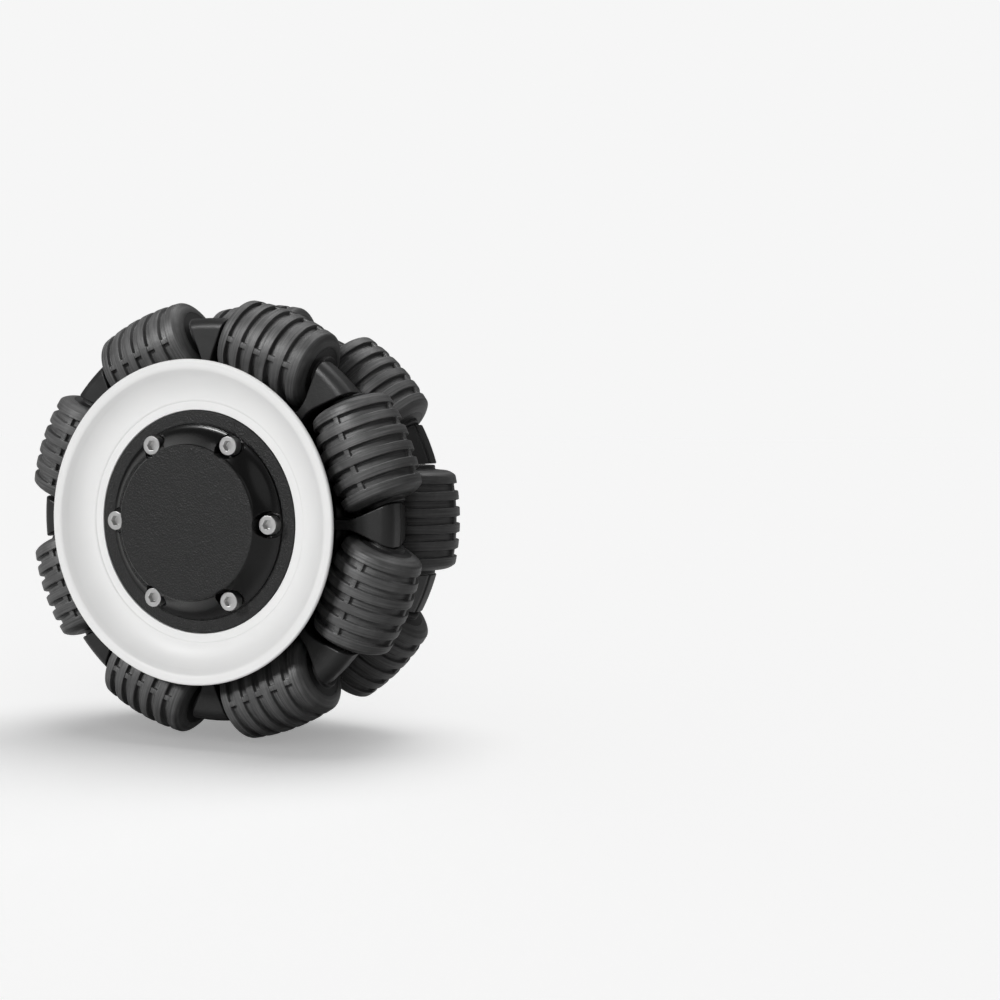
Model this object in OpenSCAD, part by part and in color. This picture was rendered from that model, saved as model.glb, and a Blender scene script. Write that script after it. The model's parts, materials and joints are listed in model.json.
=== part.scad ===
// Double-row omni wheel for a robot: sixteen crowned rollers round a free-running hub.
//
// The wheel turns about Y and its front faces -Y. The origin is the wheel's centre, midway
// between the two rows of rollers. Modules draw in the wheel's own frame, where Z is the
// wheel's axis towards the front, and on_axis() stands that frame up. Lengths are in mm.

/* [Wheel] */
// Overall diameter, over the rollers
wheel_d = 203.2; // [202:0.1:205]
// Distance between the middle planes of the two rows
row_pitch = 38.6; // [38.4:0.1:40]

/* [Rollers] */
// Diameter of a roller at its middle
roller_d = 40.2; // [39.6:0.1:40.4]
// Length of the rubber tread, over its domed ends
tread_len = 46; // [45:0.1:46.4]
// How far each end of the tread domes out past its outer edge
end_dome = 2.4; // [1.6:0.1:3]
// Distance between the middles of two neighbouring tread grooves
groove_pitch = 7.55; // [7.3:0.05:7.7]
// Width of a tread groove
groove_w = 3.4; // [3:0.1:3.8]
// Depth of a tread groove
groove_depth = 2; // [1:0.1:2.6]
// Width of the ties that cross the grooves
tie_w = 2.6; // [2:0.1:3.2]
// How far the ties lie below the ribs
tie_drop = 0.4; // [0.2:0.1:0.8]
// Outer diameter of the moulded roller core
core_d = 24; // [22:0.5:26]
// Diameter of the core's end bosses
boss_d = 17; // [15:0.5:18]
// Diameter of the steel pin in each roller
pin_d = 8; // [6:0.5:8]
// Length of a roller pin
pin_len = 62; // [60:0.1:62.4]

/* [Brackets] */
// Outer radius of the brackets between the rollers
bracket_r = 92; // [90.5:0.1:92.4]
// Distance from a roller's middle to the bracket face beside it
face_s = 25.8; // [25.6:0.1:26.4]
// Thickness of a bracket's stem
stem_t = 4; // [3.4:0.1:4.2]
// Radius that blends a stem into its head
stem_blend = 20; // [10:1:24]
// Front face of a bracket, ahead of the wheel's middle plane
bracket_front = 31.1; // [30.4:0.1:31.6]
// Back face of a bracket, ahead of the wheel's middle plane
bracket_back = 1.6; // [1.4:0.1:2]
// Rounding of a bracket's front outer edge
front_round = 5.5; // [4:0.5:7]
// How much lower a bracket's outer edge lies at its back
back_drop = 7; // [5:0.5:8]

/* [Trim ring] */
// Front edge of the trim ring, ahead of the wheel's middle plane
ring_front = 47.1; // [46.4:0.1:47.6]
// Outer radius of the trim ring
ring_r = 72.5; // [72:0.1:72.8]
// Inner radius of the visible trim ring
ring_in = 50.2; // [50.1:0.1:51]
// Width of the flat band beside the cap
ring_band = 3.8; // [3:0.1:5]
// Width of the flat lip round the outside
lip_w = 4; // [3:0.1:5]
// Rounding of the lip's outer edge
lip_round = 1.2; // [0.8:0.1:1.6]

/* [Cap] */
// Outer radius of the cap
cap_r = 50; // [49.6:0.1:50]
// Front face of the cap's outer flange
cap_flange = 39.3; // [39:0.1:39.8]
// Radius where the glossy cove meets the flange
cove_r = 43.7; // [43.2:0.1:44]
// Radius of the raised middle disc
disc_r = 34; // [33:0.1:34.4]
// Front face of the raised middle disc
cap_front = 48.1; // [47.6:0.1:48.6]
// Pitch circle diameter of the cap screws
cap_pcd = 79; // [78:0.5:79]
// Diameter of the screw pockets
pocket_d = 11.5; // [11:0.5:13.5]

/* [Axle mount] */
// Rear face of the axle flange, behind the wheel's middle plane
mount_face = 48.1; // [47.4:0.1:50]
// Diameter of the axle flange
flange_d = 54; // [50:0.5:55]
// Pitch circle diameter of the M6 holes in the axle flange
mount_pcd = 40; // [38:0.5:44]
// Tapping diameter of those holes
mount_hole_d = 5; // [4.8:0.1:5.2]
// Diameter of the locating recess
pilot_d = 16; // [12:0.5:20]
// Depth of the locating recess
pilot_depth = 4; // [2:0.5:5]

/* [Hidden] */
rows = ["front", "rear"];
row_n = 8;
row_step = 360/row_n;
bolts_n = 6;
bolt_step = 360/bolts_n;

wheel_r = wheel_d/2;
axis_r = wheel_r - roller_d/2;      // from the wheel's axis to a roller's axis
row_z = row_pitch/2;
half_tread = tread_len/2;
core_r = core_d/2;
pin_r = pin_d/2;
run_clear = 0.05;                   // radial running clearance
core_rise = 0.4;                    // from the tread's end up to the boss
end_play = 0.5;                     // between a core's boss and the bracket

barrel_r = 30;                      // hub barrel, outside
seat_r = 23.5;                      // bearing seats in the hub
rim_r = 60;                         // core of the roller frames
root_r = rim_r - 4;                 // where the brackets grow out of that core
crest_z = 21;                       // brackets are at their full radius from here to the front
clamp_z = 28;                       // outer faces of the clamped stack
hub_front = 36.5;                   // front face of the hub's flange
hub_rear = 40;                      // rear end of the hub's barrel
hub_flange_r = 45;
land_z = 34;                        // land that carries the trim ring and rear cover
bolt_r = 3;                         // M6 clamp bolts
bolt_pcr = 38;
bolt_clear = 0.2;
cap_screw_r = 2.5;                  // M5 cap screws
cap_head_r = 4.25;
cap_head_h = 5;
cap_seat = 39.9;                    // under the heads of the cap screws
cover_screw_r = 2;                  // M4 rear cover screws
cover_head_r = 3.5;
cover_head_h = 4;
cover_sink = 4.5;                   // depth of the counterbores for those screws
cover_face = mount_face - 1.5;

brg_mid = 25;                       // middle of each ball bearing
brg_w = 14;
brg_bore = 10;
brg_pitch = 16.75;
ball_r = 3.97;
ball_n = 8;
ball_clear = 0.05;
shoulder_r = 14;
clip_t = 1.5;                       // circlips and their grooves in the hub
clip_depth = 1.1;
washer_t = 2;
thread_relief = 0.5;

// ---- helpers ---------------------------------------------------------------------------

// Stands the wheel's own frame up, so that its axis lies along Y.
module on_axis() {
    rotate([90, 0, 0]) children();
}

// Draws one row's part for the front row, or its mirror image half a roller round for the rear.
module on_row(row) {
    on_axis()
        if (row == "front") children();
        else mirror([0, 0, 1]) rotate([0, 0, row_step/2]) children();
}

// Angle of the first roller after X in the front row's own layout.
first_roller = row_step/2;

// Puts a roller drawn about Z on its own axis, the k-th of its row.
module at_roller(k) {
    rotate([0, 0, first_roller + (k - 1)*row_step])
        translate([axis_r, 0, row_z])
            rotate([-90, 0, 0]) children();
}

// Repeats a piece n times round the wheel, on a circle of radius r.
module around(n, r, start = 0) {
    for (i = [0:n - 1])
        rotate([0, 0, start + i*360/n]) translate([r, 0, 0]) children();
}

module turned(points) {
    rotate_extrude($fn = 96) polygon(points);
}

// Radius that a hexagon needs for a given distance across its flats.
function hex_r(across) = across/2/cos(30);

module ring(r_in, r_out, z0, z1) {
    turned([[r_in, z0], [r_out, z0], [r_out, z1], [r_in, z1]]);
}

module rod(r, z0, z1, sides = 48) {
    translate([0, 0, z0]) cylinder(r = r, h = z1 - z0, $fn = sides);
}

function arc(cx, cy, r, a0, a1, n) =
    [for (i = [0:n]) let (a = a0 + (a1 - a0)*i/n) [cx + r*cos(a), cy + r*sin(a)]];

// A curve from p to q whose slope grows with the power: 1 is a straight line.
function sweep(p, q, power, n) =
    [for (i = [0:n]) let (t = i/n) [p.x + (q.x - p.x)*t, p.y + (q.y - p.y)*pow(t, power)]];

function reversed(list) = [for (i = [len(list) - 1:-1:0]) list[i]];

// ---- rollers ---------------------------------------------------------------------------

// Radius of a roller at the distance s from its middle: it follows the wheel's own circle.
function crown(s) = sqrt(wheel_r*wheel_r - s*s) - axis_r;

rib_edge = 2*groove_pitch + groove_w/2;

function groove_outline(s) = let (a = s - groove_w/2, b = s + groove_w/2)
    [[crown(a), a], [crown(a) - groove_depth, a], [crown(b) - groove_depth, b], [crown(b), b]];

function tread_outline() = let (
    edge_s = half_tread - end_dome,
    dome = sweep([core_r, half_tread], [crown(edge_s), edge_s], 2.2, 6)
) concat(
    [for (p = dome) [p.x, -p.y]],
    [for (g = [-2:2]) for (p = groove_outline(g*groove_pitch)) p],
    reversed(dome)
);

module tread_ties() {
    low = [for (i = [-4:4]) let (s = rib_edge*i/4) [crown(s) - tie_drop, s]];
    intersection() {
        turned(concat([[core_r + 1, -rib_edge]], low, [[core_r + 1, rib_edge]]));
        for (a = [0, 90])
            rotate([0, 0, a]) cube([roller_d, tie_w, tread_len], center = true);
    }
}

module tread(row, k) {
    color("#4a4b4d") on_row(row) at_roller(k) {
        turned(tread_outline());
        tread_ties();
    }
}

module core(row, k) {
    boss_z = face_s - end_play;
    root_z = half_tread + core_rise;
    color("#2b2b2d") on_row(row) at_roller(k)
        turned([
            [pin_r + run_clear, -boss_z], [boss_d/2, -boss_z], [boss_d/2, -root_z],
            [core_r, -half_tread], [core_r, half_tread],
            [boss_d/2, root_z], [boss_d/2, boss_z], [pin_r + run_clear, boss_z]
        ]);
}

module roller_pins(row) {
    color("#c4c6c8") on_row(row)
        for (k = [1:row_n]) at_roller(k) rod(pin_r, -pin_len/2, pin_len/2);
}

// ---- roller frames ---------------------------------------------------------------------

// Half the width of a bracket's head where its sides face the rollers squarely.
function head_half(r) = (r*sin(row_step/2) - face_s)/cos(row_step/2);

// Plan of one bracket, a thin stem that flares into a wedge, out to the radius r_out.
module bracket_plan(r_out) {
    turn = row_step/2;
    corner_r = (stem_t/2*cos(turn) + face_s)/sin(turn);
    blend_at = corner_r - stem_blend*tan(turn/2);
    side = concat(
        [[root_r, stem_t/2]],
        arc(blend_at, stem_t/2 + stem_blend, stem_blend, -90, -90 + turn, 6),
        [[r_out, head_half(r_out)]]
    );
    polygon(concat(side, [for (p = reversed(side)) [p.x, -p.y]]));
}

// The part of a bracket that lies between the heights z0 and z1.
module bracket(z0, z1) {
    back = sweep([bracket_back, bracket_r - back_drop], [crest_z, bracket_r], 0.7, 6);
    intersection() {
        translate([0, 0, z0]) linear_extrude(z1 - z0) bracket_plan(bracket_r + 1);
        turned(concat(
            [[root_r, bracket_back]],
            [for (p = back) [p.y, p.x]],
            arc(bracket_r - front_round, bracket_front - front_round, front_round, 0, 90, 8),
            [[root_r, bracket_front]]
        ));
    }
}

// One moulded half of a row's frame. The halves meet on the pins' axes, which they clamp.
module frame_half(row, z0, z1) {
    color("#1d1e20") on_row(row) difference() {
        union() {
            children();
            for (k = [0:row_n - 1]) rotate([0, 0, k*row_step]) bracket(z0, z1);
        }
        for (k = [1:row_n]) at_roller(k) rod(pin_r, -pin_len/2, pin_len/2);
        bolt_holes(row);
    }
}

module outer_frame(row) {
    frame_half(row, row_z, bracket_front)
        turned([
            [barrel_r, row_z], [rim_r, row_z], [rim_r, clamp_z], [rim_r - 2, land_z],
            [hub_flange_r + 1, land_z], [hub_flange_r + 1, clamp_z], [barrel_r, clamp_z]
        ]);
}

module inner_frame(row) {
    frame_half(row, bracket_back, row_z)
        ring(barrel_r, rim_r, bracket_back, row_z);
}

// Clamp bolts stand at the same place round the hub in both rows.
module bolt_holes(row) {
    turn = row == "front" ? 0 : row_step/2;
    rotate([0, 0, -turn]) around(bolts_n, bolt_pcr, bolt_step/2)
        rod(bolt_r + bolt_clear, -mount_face, mount_face);
}

// ---- hub and its clamped stack ---------------------------------------------------------

module hub() {
    groove_r = seat_r + clip_depth;
    land_r = seat_r - 3.5;
    seat_end = brg_mid + brg_w/2;
    seat_in = brg_mid - brg_w/2;
    clip_end = seat_end + clip_t;
    color("#b3b6ba") on_axis() difference() {
        turned([
            [seat_r, -hub_rear], [barrel_r, -hub_rear], [barrel_r, clamp_z],
            [hub_flange_r, clamp_z], [hub_flange_r, hub_front], [seat_r, hub_front],
            [seat_r, clip_end], [groove_r, clip_end], [groove_r, seat_end], [seat_r, seat_end],
            [seat_r, seat_in], [land_r, seat_in],
            [land_r, -seat_in], [seat_r, -seat_in],
            [seat_r, -seat_end], [groove_r, -seat_end], [groove_r, -clip_end], [seat_r, -clip_end]
        ]);
        around(bolts_n, cap_pcd/2) rod(cap_screw_r, clamp_z - 1, hub_front + 1);
        around(bolts_n, bolt_pcr, bolt_step/2) rod(bolt_r, clamp_z - 1, hub_front + 1);
    }
}

module middle_spacer() {
    color("#9a9da1") on_axis() difference() {
        ring(barrel_r, rim_r - 2, -bracket_back, bracket_back);
        bolt_holes("front");
    }
}

module rear_clamp_flange() {
    color("#b3b6ba") on_axis() difference() {
        ring(barrel_r, hub_flange_r, -hub_front, -clamp_z);
        bolt_holes("front");
        around(bolts_n, cap_pcd/2) rod(cover_screw_r, -hub_front - 1, -clamp_z + 1);
    }
}

module clamp_bolts() {
    head_r = 5;
    head_h = 5;
    color("#77797c") on_axis() around(bolts_n, bolt_pcr, bolt_step/2) difference() {
        union() {
            rod(bolt_r, -hub_front, land_z);
            rod(head_r, -hub_front - head_h, -hub_front);
        }
        rod(hex_r(5), -hub_front - head_h - 1, -hub_front - head_h/2, 6);
    }
}

// ---- covers ----------------------------------------------------------------------------

module trim_ring() {
    band_r = ring_in + ring_band;
    dish = sweep([band_r + 0.4, cap_flange + 0.4], [ring_r - lip_w, ring_front - 0.3], 1.8, 7);
    color("#e9e9e8") on_axis() turned(concat(
        [[hub_flange_r + 1, land_z], [rim_r - 1.5, land_z], [rim_r, land_z + 2.2]],
        [[ring_r - 6.5, ring_front - 6.6], [ring_r - 0.8, ring_front - 2.4]],
        arc(ring_r - lip_round, ring_front - lip_round, lip_round, -20, 90, 5),
        reversed(dish),
        [[band_r, cap_flange], [ring_in, cap_flange]],
        [[ring_in, hub_front], [hub_flange_r + 1, hub_front]]
    ));
}

module front_cap() {
    inner_r = 30;
    wall = 3;
    edge = 0.5;                     // width of the groove and of the small chamfers
    cove = sweep([cove_r, cap_flange + 1.1], [disc_r + 0.6, cap_front - edge], 1.7, 8);
    color("#26272a") on_axis() difference() {
        turned(concat(
            [[inner_r, hub_front], [cap_r, hub_front], [cap_r, cap_flange - edge]],
            [[cap_r - edge, cap_flange], [cove_r + edge, cap_flange]],
            [[cove_r + edge, cap_flange - edge], [cove_r, cap_flange - edge]],
            cove,
            [[disc_r, cap_front], [0, cap_front], [0, cap_front - wall]],
            [[inner_r, cap_front - wall]]
        ));
        around(bolts_n, cap_pcd/2) {
            rod(pocket_d/2, cap_seat, cap_front + 1);
            rod(cap_screw_r + bolt_clear, hub_front - 1, cap_seat + 1);
        }
    }
}

module cap_screws() {
    color("#d2d3d4") on_axis() around(bolts_n, cap_pcd/2) difference() {
        union() {
            rod(cap_screw_r, clamp_z + 0.5, cap_seat);
            rod(cap_head_r, cap_seat, cap_seat + cap_head_h);
        }
        rod(hex_r(4), cap_seat + cap_head_h/2, cap_seat + cap_head_h + 1, 6);
    }
}

module rear_cover() {
    wall = 2.6;
    in_z = wall - cover_face;
    opening_r = flange_d/2 + 1.2;
    collar_in = barrel_r + 0.3;
    collar_out = collar_in + 2.7;
    foot_in = hub_flange_r + 2;
    foot_out = foot_in + 2.5;
    slope_r = 54;                   // the flat back ends here and slopes to the rim
    screw_boss_r = 5;
    screw_sink_r = 4;
    color("#232426") on_axis() difference() {
        union() {
            turned([
                [collar_in, -hub_front], [collar_in, in_z], [opening_r, in_z],
                [opening_r, -cover_face], [slope_r, -cover_face],
                [ring_r - 2, 2.4 - cover_face], [ring_r, 4 - cover_face],
                [ring_r, 6 - cover_face], [ring_r - 2.5, 5.2 - cover_face],
                [slope_r - 0.5, in_z], [foot_out, in_z], [foot_out, -land_z],
                [foot_in, -land_z], [foot_in, in_z], [collar_out, in_z], [collar_out, -hub_front]
            ]);
            around(bolts_n, cap_pcd/2) rod(screw_boss_r, in_z - 0.5, -hub_front);
        }
        around(bolts_n, cap_pcd/2) {
            rod(screw_sink_r, -cover_face - 1, cover_sink - cover_face);
            rod(cover_screw_r + bolt_clear, -cover_face, -hub_front + 1);
        }
    }
}

module rear_cover_screws() {
    seat_z = cover_sink - cover_face;
    socket_z = seat_z - cover_head_h/2;
    color("#77797c") on_axis() around(bolts_n, cap_pcd/2) difference() {
        union() {
            rod(cover_screw_r, seat_z, -clamp_z - 1);
            rod(cover_head_r, seat_z - cover_head_h, seat_z);
        }
        rod(hex_r(3), socket_z - cover_head_h, socket_z, 6);
    }
}

// ---- axle and bearings -----------------------------------------------------------------

module axle() {
    seat_end = brg_mid + brg_w/2;
    flange_z = 6 - mount_face;
    thread_r = brg_bore - thread_relief;
    thread_z = seat_end + washer_t;
    end_z = 43.5;
    color("#aeb1b5") on_axis() difference() {
        turned([
            [0, pilot_depth - mount_face], [pilot_d/2, pilot_depth - mount_face],
            [pilot_d/2, -mount_face], [flange_d/2, -mount_face], [flange_d/2, flange_z],
            [shoulder_r, flange_z], [shoulder_r, -seat_end], [brg_bore, -seat_end],
            [brg_bore, thread_z], [thread_r, thread_z], [thread_r, end_z - 1],
            [thread_r - 1, end_z], [0, end_z]
        ]);
        around(4, mount_pcd/2, 45) rod(mount_hole_d/2, -mount_face - 1, flange_z + 1);
    }
}

module bearing_spacer() {
    half = brg_mid - brg_w/2;
    color("#8f9397") on_axis() ring(brg_bore, brg_bore + 3, -half, half);
}

module axle_washer() {
    seat_end = brg_mid + brg_w/2;
    color("#c4c6c8") on_axis() ring(brg_bore, brg_bore + 5.5, seat_end, seat_end + washer_t);
}

module axle_nut() {
    nut_h = 7;
    z0 = brg_mid + brg_w/2 + washer_t;
    color("#8f9397") on_axis() difference() {
        rod(hex_r(30), z0, z0 + nut_h, 6);
        rod(brg_bore - thread_relief, z0 - 1, z0 + nut_h + 1);
    }
}

// The ball track that is cut into both races.
module ball_track() {
    rotate_extrude($fn = 96) translate([brg_pitch, brg_mid])
        circle(r = ball_r + ball_clear, $fn = 48);
}

module bearing_at(row) {
    on_axis()
        if (row == "front") children();
        else mirror([0, 0, 1]) children();
}

module race(row, r_in, r_out) {
    color("#c9cbce") bearing_at(row) difference() {
        ring(r_in, r_out, brg_mid - brg_w/2, brg_mid + brg_w/2);
        ball_track();
    }
}

module bearing_inner(row) {
    race(row, brg_bore, shoulder_r + 0.2);
}

module bearing_outer(row) {
    race(row, seat_r - 4.2, seat_r);
}

module bearing_balls(row) {
    color("#d8dadd") bearing_at(row) {
        ring(brg_pitch - 1.1, brg_pitch + 1.1, brg_mid - 1.2, brg_mid + 1.2);
        around(ball_n, brg_pitch) translate([0, 0, brg_mid]) sphere(r = ball_r, $fn = 48);
    }
}

module circlip(row) {
    z0 = brg_mid + brg_w/2;
    gap = 8;
    color("#5c5f63") bearing_at(row) difference() {
        ring(seat_r - 2, seat_r + clip_depth - 0.1, z0, z0 + clip_t);
        translate([0, -gap/2, z0 - 1]) cube([seat_r + 5, gap, clip_t + 2]);
    }
}

module rear_seal() {
    lip_r = shoulder_r + run_clear;
    color("#1a1a1b") on_axis() turned([
        [lip_r, -39.5], [seat_r, -39.5], [seat_r, -land_z], [seat_r - 2, -land_z],
        [seat_r - 2, -37.5], [lip_r + 2, -37.5], [lip_r + 2, -34.5], [lip_r, -34.5]
    ]);
}

// ---- assembly --------------------------------------------------------------------------

axle();
bearing_spacer();
axle_washer();
axle_nut();
hub();
middle_spacer();
rear_clamp_flange();
clamp_bolts();
rear_seal();
trim_ring();
front_cap();
cap_screws();
rear_cover();
rear_cover_screws();
for (r = rows) {
    outer_frame(r);
    inner_frame(r);
    roller_pins(r);
    bearing_inner(r);
    bearing_outer(r);
    bearing_balls(r);
    circlip(r);
    for (k = [1:row_n]) {
        tread(r, k);
        core(r, k);
    }
}
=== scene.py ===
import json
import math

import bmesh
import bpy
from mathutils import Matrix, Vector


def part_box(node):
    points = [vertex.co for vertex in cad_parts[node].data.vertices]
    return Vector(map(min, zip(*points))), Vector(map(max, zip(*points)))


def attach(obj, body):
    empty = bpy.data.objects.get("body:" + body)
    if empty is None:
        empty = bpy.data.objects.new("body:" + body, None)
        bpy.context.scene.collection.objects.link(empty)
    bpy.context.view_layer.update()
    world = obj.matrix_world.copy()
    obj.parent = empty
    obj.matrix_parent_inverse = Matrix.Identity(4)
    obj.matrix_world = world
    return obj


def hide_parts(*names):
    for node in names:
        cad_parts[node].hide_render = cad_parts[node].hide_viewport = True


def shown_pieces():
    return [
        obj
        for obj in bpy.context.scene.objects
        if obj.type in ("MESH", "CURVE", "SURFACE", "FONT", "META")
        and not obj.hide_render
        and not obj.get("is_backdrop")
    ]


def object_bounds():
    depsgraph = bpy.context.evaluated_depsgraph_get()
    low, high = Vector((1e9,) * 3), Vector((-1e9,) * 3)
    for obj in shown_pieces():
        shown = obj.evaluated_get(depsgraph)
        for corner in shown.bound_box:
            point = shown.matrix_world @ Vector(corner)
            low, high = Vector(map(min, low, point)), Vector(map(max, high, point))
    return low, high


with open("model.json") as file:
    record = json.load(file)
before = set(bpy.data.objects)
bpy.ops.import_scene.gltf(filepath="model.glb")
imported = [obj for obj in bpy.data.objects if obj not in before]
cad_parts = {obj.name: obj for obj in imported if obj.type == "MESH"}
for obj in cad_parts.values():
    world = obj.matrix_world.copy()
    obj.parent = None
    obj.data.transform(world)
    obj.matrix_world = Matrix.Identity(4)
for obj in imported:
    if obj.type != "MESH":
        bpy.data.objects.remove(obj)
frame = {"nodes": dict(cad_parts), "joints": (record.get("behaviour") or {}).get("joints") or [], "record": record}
cad_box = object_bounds()

# Looks for a double-row omni wheel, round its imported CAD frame.
#
# The rubber treads, the roller cores, the trim ring and the cap are drawn here in fine detail,
# and the roller frames are the CAD's with rounded brackets.
# Every other part is the CAD's own, with rounded edges and a better material.
# Shapes are worked out in millimetres in the wheel's own frame, where z is the wheel's axis
# towards its front, x is the frame's X and y is the frame's Z.

MM = 0.001
ROWS = ("front", "rear")
ROLLERS = range(1, 9)
SAME_POINT = 0.002 * MM             # CAD points closer than this are one point
SAME_FACE = math.radians(0.3)       # CAD faces that meet at less than this are one face
SHARP = math.radians(40)            # edges that turn by more than this are rounded

# ---- sizes -----------------------------------------------------------------------------


def round_part(node):
    """Outer radius, back and front of a node that is round about the wheel's axis."""
    low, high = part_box(node)
    return [round(size / MM, 1) for size in (max(high.x, high.z), -high.y, -low.y)]


ring_r, ring_back, ring_front = round_part("trim_ring")
cap_r, _, cap_front = round_part("front_cap")
land_r, _, land_z = round_part("hub")

tread_low, tread_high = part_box("rear_tread_2")      # the roller straight above the axle
half_tread = round(tread_high.x / MM, 1)
roller_r = round((tread_high.y - tread_low.y) / 2 / MM, 1)
axis_r = round((tread_high.z + tread_low.z) / 2 / MM, 1)
wheel_r = axis_r + roller_r
row_z = round((tread_low.y + tread_high.y) / 2 / MM, 1)     # from the wheel's middle to either row's

rim_r = 60.0                # roller frames: where their brackets start, and the brackets' rounding
bracket_round = 0.7

end_dome = 2.4              # how far a tread domes out past its outer edge
groove_pitch = 7.55
groove_w = 3.4
groove_depth = 2.0
groove_n = 5
tie_w = 2.6                 # bars that cross the grooves, four round each tread
tie_drop = 0.4              # how far they lie below the ribs
tie_n = 4
core_r = 12.0               # roller core: its body, its end bosses and its bore
boss_r = 8.5
bore_r = 4.05
boss_end = 25.3
core_rise = 0.4             # from the tread's end up to the boss

ring_in = 50.2              # trim ring: flat inner band, dish, outer lip and the neck behind them
ring_band = 3.8
lip_w = 4.0
lip_round = 1.2
neck_r = 58.5
cap_flange = 39.3           # cap: flange, glossy cove and raised disc
cove_r = 43.7
disc_r = 34.0
seam = 0.5                  # groove between flange and cove
cap_pcr = 39.5
pocket_r = 5.75
pocket_floor = 39.9
screw_hole_r = 2.7
screw_n = 6

# ---- mesh helpers ----------------------------------------------------------------------


def to_frame(point):
    """A point of the wheel's own frame, in mm, as a point of the CAD frame, in metres."""
    x, y, z = point
    return (x * MM, -z * MM, y * MM)


def arc(cx, cy, radius, start, end, steps):
    """Points along an arc, with angles in degrees."""
    turns = [math.radians(start + (end - start) * i / steps) for i in range(steps + 1)]
    return [(cx + radius * math.cos(a), cy + radius * math.sin(a)) for a in turns]


def sweep(p, q, power, steps):
    """A curve from p to q whose slope grows with the power: 1 is a straight line."""
    shares = [i / steps for i in range(steps + 1)]
    return [(p[0] + (q[0] - p[0]) * t, p[1] + (q[1] - p[1]) * t ** power) for t in shares]


def rounded(outline, steps=4):
    """A closed outline whose corners (x, y, radius) are rounded; plain points stay as they are."""
    result = []
    for i, corner in enumerate(outline):
        point = Vector(corner[:2])
        radius = corner[2] if len(corner) > 2 else 0
        before = Vector(outline[i - 1][:2]) - point
        after = Vector(outline[(i + 1) % len(outline)][:2]) - point
        if not radius:
            result.append(tuple(point))
            continue
        half = before.angle(after) / 2
        reach = min(radius / math.tan(half), 0.45 * before.length, 0.45 * after.length)
        middle = (before.normalized() + after.normalized()).normalized()
        centre = point + middle * (reach / math.cos(half))
        start = point + before.normalized() * reach - centre
        end = point + after.normalized() * reach - centre
        turn = start.angle_signed(end)
        for step in range(steps + 1):
            spoke = start.copy()
            spoke.rotate(Matrix.Rotation(-turn * step / steps, 2))
            result.append(tuple(centre + spoke))
    return result


def lathe(outline, segments):
    """Turns a closed outline of (radius, height) round the height's axis."""
    verts, rings, faces = [], [], []
    for radius, height in outline:
        count = 1 if radius < 1e-6 else segments
        rings.append(range(len(verts), len(verts) + count))
        turns = [math.tau * i / segments for i in range(count)]
        verts += [(radius * math.cos(a), radius * math.sin(a), height) for a in turns]
    for low, high in zip(rings, rings[1:] + rings[:1]):
        for i in range(segments):
            j = (i + 1) % segments
            if len(low) > 1 and len(high) > 1:
                faces.append((low[i], low[j], high[j], high[i]))
            elif len(low) > 1:
                faces.append((low[i], low[j], high[0]))
            elif len(high) > 1:
                faces.append((low[0], high[j], high[i]))
    return verts, faces


def make_mesh(name, verts, faces):
    mesh = bpy.data.meshes.new(name)
    mesh.from_pydata(verts, [], faces)
    mesh.validate()
    mesh.shade_smooth()
    return mesh


def make_piece(name, mesh, material, body, nodes, place=None):
    """Puts a mesh in the scene as a piece that rides on a body and stands for CAD nodes."""
    piece = bpy.data.objects.new(name, mesh)
    bpy.context.scene.collection.objects.link(piece)
    if place:
        piece.matrix_world = place
    if not mesh.materials:
        mesh.materials.append(material)
    even_normals(piece)
    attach(piece, body)
    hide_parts(*nodes)
    return piece


def even_normals(piece):
    """Shades flat faces flat and rounded edges smooth."""
    shading = piece.modifiers.new("even_normals", "WEIGHTED_NORMAL")
    shading.weight = 100
    shading.keep_sharp = False


# ---- materials -------------------------------------------------------------------------


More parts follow.
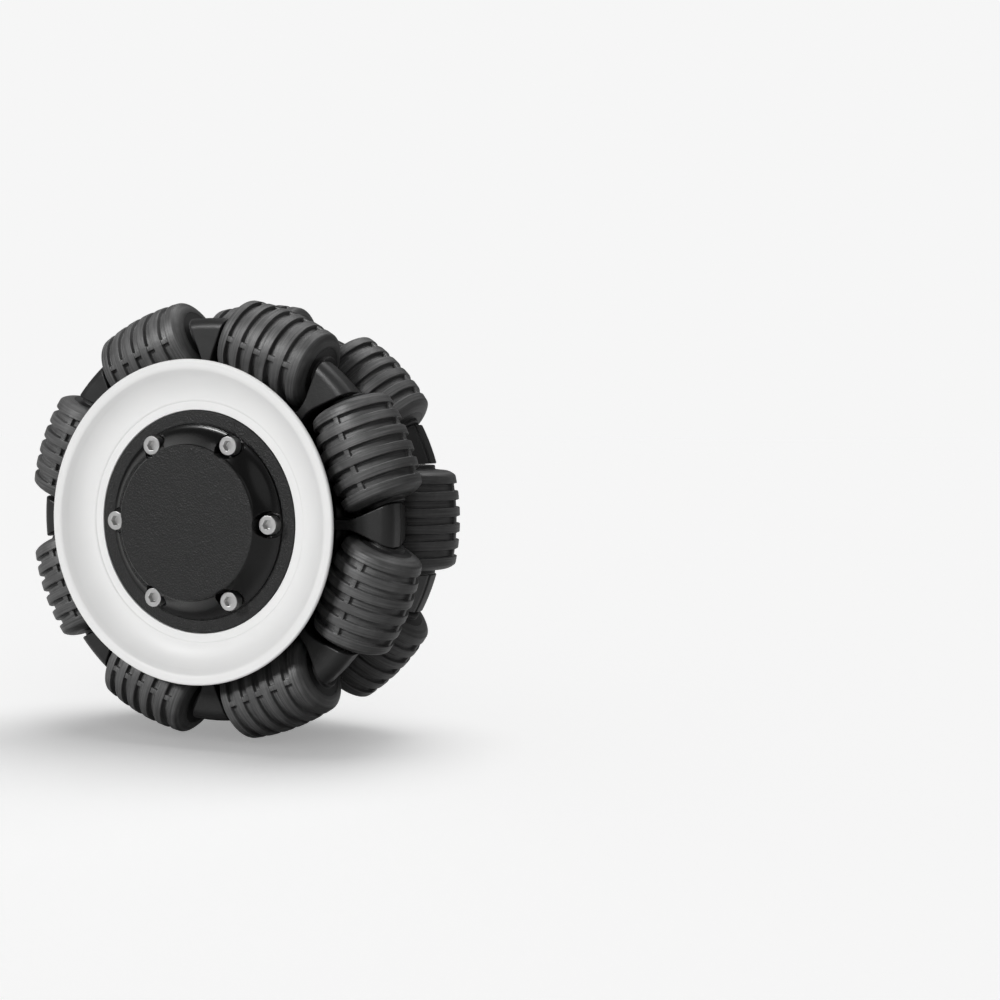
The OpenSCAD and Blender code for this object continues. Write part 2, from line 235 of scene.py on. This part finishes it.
class Finish:
    """A procedural material, built up in layers over one principled shader."""

    def __init__(self, name, **sockets):
        self.material = bpy.data.materials.new(name)
        self.material.use_nodes = True
        self.tree = self.material.node_tree
        self.shader = self.tree.nodes["Principled BSDF"]
        for socket, value in sockets.items():
            self.shader.inputs[socket.replace("_", " ")].default_value = value
        self.place = self.add("ShaderNodeTexCoord").outputs["Object"]
        self.normal = None

    def add(self, kind, settings=(), **inputs):
        """Adds a node, with its settings, and its inputs as values or links."""
        node = self.tree.nodes.new(kind)
        for name, value in dict(settings).items():
            setattr(node, name, value)
        for name, value in inputs.items():
            self.feed(node.inputs[name.replace("_", " ")], value)
        return node

    def feed(self, socket, value):
        if isinstance(value, bpy.types.NodeSocket):
            self.tree.links.new(value, socket)
        else:
            socket.default_value = value

    def noise(self, size, detail=3.0, stretch=(1, 1, 1), distortion=0.0):
        """Noise whose features are about size mm across, longer along the stretched axes."""
        scale = [1 / (size * MM * s) for s in stretch]
        spread = self.add("ShaderNodeVectorMath", {"operation": "MULTIPLY"})
        self.feed(spread.inputs[0], self.place)
        self.feed(spread.inputs[1], scale)
        texture = self.add("ShaderNodeTexNoise", Vector=spread.outputs[0], Scale=1.0,
                           Detail=detail, Distortion=distortion)
        return texture.outputs["Fac"]

    def cells(self, size):
        """Small rounded bumps about size mm across, as spark-eroded moulds leave."""
        texture = self.add("ShaderNodeTexVoronoi", {"feature": "SMOOTH_F1"}, Vector=self.place,
                           Scale=1 / (size * MM), Smoothness=0.8)
        return texture.outputs["Distance"]

    def remap(self, value, low, high, out_low, out_high):
        node = self.add("ShaderNodeMapRange", Value=value)
        names = ("From Min", "From Max", "To Min", "To Max")
        for name, number in zip(names, (low, high, out_low, out_high)):
            node.inputs[name].default_value = number
        return node.outputs["Result"]

    def maths(self, operation, a, b=0.0):
        node = self.add("ShaderNodeMath", {"operation": operation})
        self.feed(node.inputs[0], a)
        self.feed(node.inputs[1], b)
        return node.outputs[0]

    def tint(self, fac, dark, light):
        """Colour that goes from dark to light with fac; feeds the base colour."""
        node = self.add("ShaderNodeMix", {"data_type": "RGBA"})
        self.feed(node.inputs["Factor"], fac)
        self.feed(node.inputs[6], (*dark, 1))
        self.feed(node.inputs[7], (*light, 1))
        self.feed(self.shader.inputs["Base Color"], node.outputs[2])

    def rough(self, fac, low, high):
        self.feed(self.shader.inputs["Roughness"], self.remap(fac, 0.3, 0.7, low, high))

    def bump(self, height, depth, strength=1.0):
        """Adds relief of about depth mm on top of the relief so far."""
        node = self.add("ShaderNodeBump", Height=height, Distance=depth * MM, Strength=strength)
        if self.normal:
            self.feed(node.inputs["Normal"], self.normal)
        self.normal = node.outputs["Normal"]
        self.feed(self.shader.inputs["Normal"], self.normal)

    def distance(self, parts):
        """Length of the place's vector with only some of its parts, in metres."""
        flat = self.add("ShaderNodeVectorMath", {"operation": "MULTIPLY"})
        self.feed(flat.inputs[0], self.place)
        self.feed(flat.inputs[1], parts)
        length = self.add("ShaderNodeVectorMath", {"operation": "LENGTH"})
        self.feed(length.inputs[0], flat.outputs[0])
        return length.outputs["Value"]


def grey(value, warmth=0.0):
    return (value * (1 + warmth), value, value * (1 - warmth))


def tread_rubber():
    f = Finish("tread_rubber", Specular_IOR_Level=0.4)
    blotches = f.noise(9.0, detail=4)
    lines = f.noise(0.6, detail=3, stretch=(40, 40, 1))
    pores = f.noise(0.45, detail=5)
    worn = f.maths("MULTIPLY", blotches, f.remap(lines, 0.3, 0.7, 0.3, 1.7))
    f.tint(worn, grey(0.03), grey(0.115))
    f.rough(pores, 0.38, 0.55)
    f.bump(lines, 0.12, 0.8)
    f.bump(pores, 0.06, 0.6)
    return f.material


def seal_rubber():
    f = Finish("seal_rubber", Specular_IOR_Level=0.4)
    pores = f.noise(0.4, detail=4)
    f.tint(pores, grey(0.012), grey(0.03))
    f.rough(pores, 0.45, 0.6)
    f.bump(pores, 0.04, 0.5)
    return f.material


def grained_plastic(name, dark, light, grain, depth, roughness):
    """Moulded nylon with a fine mould grain and slightly uneven gloss."""
    f = Finish(name, Specular_IOR_Level=0.35)
    flow = f.noise(14.0, detail=3, distortion=0.6)
    fine = f.noise(grain, detail=3)
    f.tint(flow, grey(dark), grey(light))
    f.rough(f.maths("ADD", f.maths("MULTIPLY", flow, 0.5), f.maths("MULTIPLY", fine, 0.5)), *roughness)
    f.bump(f.cells(grain * 1.6), depth, 0.5)
    f.bump(fine, depth, 0.6)
    return f.material


def trim_white():
    f = Finish("trim_white", Specular_IOR_Level=0.5)
    cloud = f.noise(22.0, detail=2)
    fine = f.noise(0.5, detail=3)
    f.tint(cloud, (0.76, 0.76, 0.755), (0.80, 0.80, 0.795))
    f.rough(cloud, 0.4, 0.5)
    f.bump(fine, 0.012, 0.4)
    f.bump(f.noise(6.0, detail=2), 0.03, 0.3)
    return f.material


def cap_black():
    """Textured on the flange and the disc, and polished on the cove between them."""
    f = Finish("cap_black", Specular_IOR_Level=0.3)
    away = f.distance((1, 0, 1))
    inner = f.remap(away, (disc_r + 0.1) * MM, (disc_r + 0.6) * MM, 0, 1)
    outer = f.remap(away, (cove_r - 0.1) * MM, (cove_r + 0.1) * MM, 1, 0)
    matt = f.maths("SUBTRACT", 1.0, f.maths("MULTIPLY", inner, outer))
    flow = f.noise(12.0, detail=3)
    sparks = f.cells(0.75)
    fine = f.noise(0.6, detail=4)
    f.tint(f.maths("MULTIPLY", matt, f.remap(fine, 0.3, 0.7, 0.5, 1.0)), grey(0.003), grey(0.013))
    worn = f.remap(flow, 0.3, 0.7, 0.40, 0.50)
    glossy = f.remap(flow, 0.3, 0.7, 0.17, 0.23)
    spread = f.maths("ADD", f.maths("MULTIPLY", matt, worn),
                     f.maths("MULTIPLY", f.maths("SUBTRACT", 1.0, matt), glossy))
    f.feed(f.shader.inputs["Roughness"], spread)
    f.bump(f.maths("MULTIPLY", sparks, matt), 0.32, 1.0)
    f.bump(f.maths("MULTIPLY", fine, matt), 0.14, 0.8)
    f.bump(flow, 0.02, 0.2)
    return f.material


def steel(name, dark, light, roughness, streak=(1, 1, 1), streak_size=0.3, relief=0.02):
    """Metal with streaks from turning or rolling, and faint stains."""
    f = Finish(name, Metallic=1.0)
    streaks = f.noise(streak_size, detail=3, stretch=streak)
    stains = f.noise(5.0, detail=4)
    f.tint(f.maths("ADD", f.maths("MULTIPLY", stains, 0.6), f.maths("MULTIPLY", streaks, 0.4)),
           grey(dark, 0.005), grey(light, 0.005))
    f.rough(streaks, *roughness)
    f.bump(streaks, relief, 0.5)
    return f.material


def make_materials():
    """One material for each of the record's slots."""
    return {
        "tread_rubber": tread_rubber(),
        "seal_rubber": seal_rubber(),
        "core_plastic": grained_plastic("core_plastic", 0.014, 0.024, 0.4, 0.03, (0.42, 0.55)),
        "frame_plastic": grained_plastic("frame_plastic", 0.009, 0.018, 0.45, 0.05, (0.34, 0.46)),
        "cover_black": grained_plastic("cover_black", 0.013, 0.022, 0.7, 0.12, (0.42, 0.56)),
        "trim_white": trim_white(),
        "cap_black": cap_black(),
        "screw_steel": steel("screw_steel", 0.42, 0.58, (0.3, 0.42), streak_size=0.25),
        "bright_steel": steel("bright_steel", 0.5, 0.66, (0.2, 0.36), streak=(30, 1, 30)),
        "bearing_steel": steel("bearing_steel", 0.56, 0.7, (0.12, 0.24), streak=(30, 1, 30)),
        "plate_steel": steel("plate_steel", 0.3, 0.42, (0.34, 0.5), streak=(40, 1, 1)),
        "dark_steel": steel("dark_steel", 0.09, 0.16, (0.3, 0.46)),
        "hub_aluminium": steel("hub_aluminium", 0.56, 0.7, (0.28, 0.42), streak=(40, 1, 40)),
    }


# ---- rollers ---------------------------------------------------------------------------


def crown(s):
    """Radius of a roller at the distance s from its middle: it follows the wheel's own circle."""
    return math.sqrt(wheel_r ** 2 - s * s) - axis_r


def groove_edge(half):
    """Steps over a groove's side: distance from the groove's middle, and share of the full depth."""
    return [(half + 0.45, 0.0), (half + 0.2, 0.03), (half + 0.04, 0.14),
            (half - 0.06, 0.5), (half - 0.14, 0.88), (half - 0.4, 1.0)]


def tread_rows():
    """Rows along a roller: place along its axis, radius there, and share of the groove's depth."""
    rows = []
    for g in range(groove_n):
        middle = (g - groove_n // 2) * groove_pitch
        side = groove_edge(groove_w / 2)
        steps = [(middle - s, share) for s, share in side]
        steps += [(middle + s, share) for s, share in reversed(side)]
        rows += [(s, crown(s), share) for s, share in steps]
        if g < groove_n - 1:
            rib = middle + groove_pitch / 2
            rows.append((rib, crown(rib), 0.0))
    edge_s = half_tread - end_dome
    edge_r = crown(edge_s)
    edge = [(crown(edge_s - 1.2), edge_s - 1.2), (crown(edge_s - 0.45), edge_s - 0.45),
            (edge_r - 0.03, edge_s - 0.15), (edge_r - 0.16, edge_s + 0.06)]
    dome = sweep((core_r, half_tread), (edge_r, edge_s), 2.2, 16)
    end = [(s, r, 0.0) for r, s in edge + dome[-2::-1] + [(core_r, half_tread - 0.5)]]
    start = [(-s, r, share) for s, r, share in reversed(end)]
    return start + rows + end


def tread_columns():
    """Columns round a roller: angle, and share of the groove's depth, which is less on a tie."""
    side = [(tie_w / 2 - 0.25, 0.0), (tie_w / 2 - 0.05, 0.1), (tie_w / 2 + 0.04, 0.5),
            (tie_w / 2 + 0.1, 0.9), (tie_w / 2 + 0.35, 1.0)]
    quarter = math.tau / tie_n
    edge = side[-1][0] / roller_r
    plain = 19
    columns = []
    for tie in range(tie_n):
        start = tie * quarter
        columns.append((start, 0.0))
        columns += [(start + y / roller_r, share) for y, share in side]
        columns += [(start + edge + (quarter - 2 * edge) * i / plain, 1.0) for i in range(1, plain)]
        columns += [(start + quarter - y / roller_r, share) for y, share in reversed(side)]
    return columns


def tread_mesh():
    rows = tread_rows()
    columns = tread_columns()
    verts = []
    for s, radius, groove in rows:
        for angle, share in columns:
            depth = tie_drop + (groove_depth - tie_drop) * share
            r = radius - groove * depth
            verts.append((r * math.cos(angle) * MM, r * math.sin(angle) * MM, s * MM))
    faces = []
    count = len(columns)
    for i in range(len(rows)):
        low, high = i * count, (i + 1) % len(rows) * count
        for j in range(count):
            k = (j + 1) % count
            faces.append((low + j, low + k, high + k, high + j))
    return make_mesh("tread", verts, faces)


def core_mesh():
    root = half_tread + core_rise
    end = [(bore_r, -boss_end, 0.3), (boss_r, -boss_end, 0.6)]
    end += [(boss_r, -root, 0.5), (core_r, -half_tread, 0.1)]
    outline = rounded(end + [(r, -s, turn) for r, s, turn in reversed(end)])
    verts, faces = lathe(outline, 96)
    return make_mesh("core", [(x * MM, y * MM, z * MM) for x, y, z in verts], faces)


def roller_place(joint):
    """Stands a roller on its joint, with its own z along the joint's axis and x outwards."""
    middle = Vector(joint["pos_m"])
    outward = Vector((middle.x, 0, middle.z)).normalized()
    along = Vector(joint["axis"]).normalized()
    turn = Matrix((outward, along.cross(outward), along)).transposed()
    return Matrix.Translation(middle) @ turn.to_4x4()


def make_rollers(materials):
    joints = {joint["name"]: joint for joint in frame["joints"]}
    tread = tread_mesh()
    core = core_mesh()
    for row in ROWS:
        for k in ROLLERS:
            place = roller_place(joints[f"{row}_roller_spin_{k}"])
            body = f"{row}_roller_{k}"
            make_piece(f"{row}_rubber_{k}", tread, materials["tread_rubber"],
                       body, [f"{row}_tread_{k}"], place)
            make_piece(f"{row}_spool_{k}", core, materials["core_plastic"],
                       body, [f"{row}_core_{k}"], place)


# ---- trim ring and cap -----------------------------------------------------------------


def make_trim_ring(materials):
    band_r = ring_in + ring_band
    dish = sweep((band_r + 0.5, cap_flange + 0.4), (ring_r - lip_w, ring_front), 1.8, 26)
    outline = rounded(
        [(land_r + 1, ring_back, 0.3), (neck_r, ring_back, 0.5), (neck_r + 1.5, ring_back + 2.2, 1.0)]
        + [(ring_r - 6.5, ring_front - 6.6, 2.0), (ring_r - 0.8, ring_front - 2.4, 0.8)]
        + arc(ring_r - lip_round, ring_front - lip_round, lip_round, -20, 90, 14)
        + [(*dish[-1], 5.0)] + dish[-6::-1]
        + [(band_r, cap_flange, 0.15), (ring_in, cap_flange, 0.4)]
        + [(ring_in, land_z, 0.2), (land_r + 1, land_z, 0.2)]
    )
    verts, faces = lathe(outline, 288)
    mesh = make_mesh("trim_ring", [to_frame(v) for v in verts], faces)
    make_piece("white_trim", mesh, materials["trim_white"], "wheel", ["trim_ring"])


def cap_outline():
    inner_r = 30
    wall = 3
    cove = sweep((cove_r - 0.2, cap_flange + 1.2), (disc_r + 0.9, cap_front - 0.7), 1.7, 26)
    return rounded(
        [(inner_r, land_z, 0.3), (cap_r, land_z, 0.3), (cap_r, cap_flange, 0.6)]
        + [(cove_r + seam, cap_flange, 0.15), (cove_r + seam, cap_flange - seam, 0.1)]
        + [(cove_r, cap_flange - seam, 0.1), (cove_r, cap_flange + 0.85, 0.25)]
        + cove
        + [(disc_r + 0.25, cap_front - 0.15), (disc_r - 0.3, cap_front)]
        + [(disc_r * share, cap_front) for share in (0.96, 0.9, 0.6, 0.3)]
        + [(0, cap_front), (0, cap_front - wall), (inner_r, cap_front - wall, 0.5)]
    )


def pocket_cutters():
    """One mesh with the six round pockets that the cap's screws stand in, and their holes."""
    outline = rounded([(0, land_z - 1), (screw_hole_r, land_z - 1), (screw_hole_r, pocket_floor)]
                      + [(pocket_r, pocket_floor, 0.4), (pocket_r, cap_front + 2), (0, cap_front + 2)])
    verts, faces = lathe(outline, 72)
    all_verts, all_faces = [], []
    for i in range(screw_n):
        angle = math.tau * i / screw_n
        x, y = cap_pcr * math.cos(angle), cap_pcr * math.sin(angle)
        start = len(all_verts)
        all_verts += [to_frame((vx + x, vy + y, vz)) for vx, vy, vz in verts]
        all_faces += [tuple(v + start for v in face) for face in faces]
    return make_mesh("pockets", all_verts, all_faces)


def cut(mesh, cutter_mesh):
    """The mesh that is left when the cutter is taken from it."""
    body = bpy.data.objects.new("uncut", mesh)
    cutter = bpy.data.objects.new("cutter", cutter_mesh)
    for piece in (body, cutter):
        bpy.context.scene.collection.objects.link(piece)
    boolean = body.modifiers.new("cut", "BOOLEAN")
    boolean.operation = "DIFFERENCE"
    boolean.solver = "EXACT"
    boolean.object = cutter
    graph = bpy.context.evaluated_depsgraph_get()
    result = bpy.data.meshes.new_from_object(body.evaluated_get(graph))
    for piece in (body, cutter):
        bpy.data.objects.remove(piece)
    return result


def make_cap(materials):
    verts, faces = lathe(cap_outline(), 360)
    whole = make_mesh("cap_blank", [to_frame(v) for v in verts], faces)
    mesh = cut(whole, pocket_cutters())
    mesh.name = "cap"
    mesh.materials.clear()
    make_piece("black_cap", mesh, materials["cap_black"], "wheel", ["front_cap"])


# ---- roller frames ---------------------------------------------------------------------


def from_axis(vert):
    """How far a point is from the wheel's axis, in mm."""
    return math.hypot(vert.co.x, vert.co.z) / MM


def bracket_edge(edge):
    """Whether an edge is one of a bracket's long outer edges, and not a pin hole's or a seam's."""
    away = [from_axis(vert) for vert in edge.verts]
    on_seam = all(abs(abs(vert.co.y) / MM - row_z) < 0.01 for vert in edge.verts)
    is_long = edge.calc_length() > 0.8 * MM and max(away) > rim_r + 2
    return (edge.is_manifold and edge.calc_face_angle() > SHARP and not on_seam
            and is_long and min(away) > rim_r - 0.1)


def make_frames(materials):
    """The frames keep the CAD's shape, and get smooth rounded edges along their brackets."""
    for row in ROWS:
        for half in ("outer", "inner"):
            name = f"{row}_{half}_frame"
            shape = bmesh.new()
            shape.from_mesh(frame["nodes"][name].data)
            bmesh.ops.remove_doubles(shape, verts=shape.verts, dist=SAME_POINT)
            verts = [vert for vert in shape.verts if from_axis(vert) > rim_r - 0.1]
            bracket = set(verts)
            edges = [edge for edge in shape.edges if bracket.issuperset(edge.verts)]
            bmesh.ops.dissolve_limit(shape, verts=verts, edges=edges, angle_limit=SAME_FACE)
            edges = [edge for edge in shape.edges if bracket_edge(edge)]
            bmesh.ops.bevel(shape, geom=edges, offset=bracket_round * MM, offset_type="OFFSET",
                            segments=4, profile=0.5, affect="EDGES", clamp_overlap=True)
            mesh = bpy.data.meshes.new(name)
            shape.to_mesh(mesh)
            shape.free()
            mesh.shade_smooth()
            mesh.materials.clear()
            make_piece(f"{row}_{half}_brackets", mesh, materials["frame_plastic"],
                       "wheel", [name])


# ---- parts that are the CAD's own --------------------------------------------------------

EDGES = {                   # rounding of the sharp edges, in mm, by a part of the node's name
    "rear_cover": 0.6, "axle": 0.4, "hub": 0.4, "cap_screws": 0.35,
    "screws": 0.25, "bolts": 0.4, "nut": 0.4, "plate": 0.3, "spacer": 0.3, "flange": 0.4,
    "bearing": 0.2, "circlip": 0.15, "washer": 0.25, "pins": 0.4, "seal": 0.2,
}


def edge_width(name):
    """The rounding of a node's edges, in metres: that of the first name in EDGES that fits."""
    widths = [width for key, width in EDGES.items() if key in name]
    return widths[0] * MM if widths else 0.0


def finish_nodes(materials):
    """Rounds the edges of the CAD nodes that still show, and gives them their materials."""
    slots = {part["node"]: part["material_slot"] for part in frame["record"]["subparts"]}
    for name, node in frame["nodes"].items():
        if node.hide_render:
            continue
        for slot in node.material_slots:
            slot.material = materials[slots[name]]
        joined = node.modifiers.new("join", "WELD")
        joined.merge_threshold = SAME_POINT
        flat = node.modifiers.new("flat_faces", "DECIMATE")
        flat.decimate_type = "DISSOLVE"
        flat.angle_limit = SAME_FACE
        rounding = node.modifiers.new("round_edges", "BEVEL")
        rounding.width = edge_width(name)
        rounding.segments = 3
        rounding.limit_method = "ANGLE"
        rounding.angle_limit = SHARP
        even_normals(node)


# ---- stage -----------------------------------------------------------------------------

BACKDROP = 0.922            # brightness of the backdrop, where 1 is white
AROUND = 0.16               # brightness of the soft light from all round
FLOOR_LIFT = 0.30           # what the floor adds to its own light to match the backdrop
FLOOR_HALF = 30.0           # half the floor's width, in metres
FACE = ["white_trim", "black_cap", "cap_screws"]    # what the low front sun lights


def add_floor():
    """A wide pale floor under the wheel that meets the backdrop without a line."""
    half = FLOOR_HALF
    level = cad_box[0].z
    mesh = bpy.data.meshes.new("floor")
    corners = [(-half, -half, level), (half, -half, level), (half, half, level), (-half, half, level)]
    mesh.from_pydata(corners, [], [(0, 1, 2, 3)])
    f = Finish("floor", Roughness=1.0, Specular_IOR_Level=0.0)
    f.shader.inputs["Emission Color"].default_value = (1, 1, 1, 1)
    seen = f.add("ShaderNodeLightPath").outputs["Is Camera Ray"]
    f.feed(f.shader.inputs["Emission Strength"], f.maths("MULTIPLY", seen, FLOOR_LIFT))
    f.tint(f.noise(300.0), grey(0.966), grey(0.968))
    mesh.materials.append(f.material)
    floor = bpy.data.objects.new("floor", mesh)
    bpy.context.scene.collection.objects.link(floor)
    floor.visible_diffuse = False       # its light would wash out the wheel's dark underside
    floor.visible_shadow = False        # the front sun stands in for it, from just below
    floor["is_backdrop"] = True


def add_world():
    """An even backdrop, with a dimmer soft light from all round."""
    world = bpy.data.worlds.new("studio")
    bpy.context.scene.world = world
    world.use_nodes = True
    tree = world.node_tree
    tree.nodes.clear()
    output = tree.nodes.new("ShaderNodeOutputWorld")
    mix = tree.nodes.new("ShaderNodeMixShader")
    path = tree.nodes.new("ShaderNodeLightPath")
    tree.links.new(path.outputs["Is Camera Ray"], mix.inputs[0])
    for socket, brightness in ((mix.inputs[1], AROUND), (mix.inputs[2], BACKDROP)):
        background = tree.nodes.new("ShaderNodeBackground")
        background.inputs["Color"].default_value = (1, 1, 1, 1)
        background.inputs["Strength"].default_value = brightness
        tree.links.new(background.outputs[0], socket)
    tree.links.new(mix.outputs[0], output.inputs["Surface"])


def add_sun(name, azimuth, elevation, strength, softness, lit=()):
    """A soft light from far off: azimuth 0 is from the front, 90 from the wheel's right.

    Where lit names pieces, it lights only those.
    """
    light = bpy.data.lights.new(name, "SUN")
    light.energy = strength
    light.angle = math.radians(softness)
    sun = bpy.data.objects.new(name, light)
    turn, lift = math.radians(azimuth), math.radians(elevation)
    towards = Vector((math.sin(turn) * math.cos(lift), -math.cos(turn) * math.cos(lift), math.sin(lift)))
    sun.rotation_euler = towards.to_track_quat("Z", "Y").to_euler()
    bpy.context.scene.collection.objects.link(sun)
    if lit:
        sun.light_linking.receiver_collection = bpy.data.collections.new(name + "_lit")
        for piece in lit:
            sun.light_linking.receiver_collection.objects.link(bpy.data.objects[piece])


def add_camera():
    """The camera at the photograph's angle, slightly above the wheel's middle."""
    data = bpy.data.cameras.new("camera")
    data.lens = 51.09
    data.sensor_width = 36
    camera = bpy.data.objects.new("camera", data)
    bpy.context.scene.collection.objects.link(camera)
    azimuth, elevation, roll = (math.radians(a) for a in (21.264, 2.780, 0.136))
    right = Vector((math.cos(azimuth), math.sin(azimuth), 0))
    back = Vector((math.sin(azimuth) * math.cos(elevation), -math.cos(azimuth) * math.cos(elevation),
                   math.sin(elevation)))
    turn = Matrix((right, back.cross(right), back)).transposed() @ Matrix.Rotation(roll, 3, "Z")
    camera.matrix_world = Matrix.Translation((0.356635, -0.581088, 0.041005)) @ turn.to_4x4()
    bpy.context.scene.camera = camera


def set_stage():
    """The floor, the backdrop, the lights and the camera."""
    add_floor()
    add_world()
    wheel = [piece.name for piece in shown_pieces()]
    add_sun("key", -28, 26, 1.35, 10, wheel)
    add_sun("front", 1, -22, 1.6, 40, FACE)
    add_sun("relief", -13, 32, 1.85, 12, [name for name in wheel if name not in FACE])
    add_sun("top", 180, 80, 1.0, 40)
    add_sun("rim", 150, 60, 0.5, 40)
    add_sun("side", 40, 30, 0.2, 40)
    add_camera()
    bpy.context.scene.view_settings.view_transform = "Standard"


# ---- the whole wheel ---------------------------------------------------------------------

materials = make_materials()
make_rollers(materials)
make_frames(materials)
make_trim_ring(materials)
make_cap(materials)
finish_nodes(materials)
set_stage()
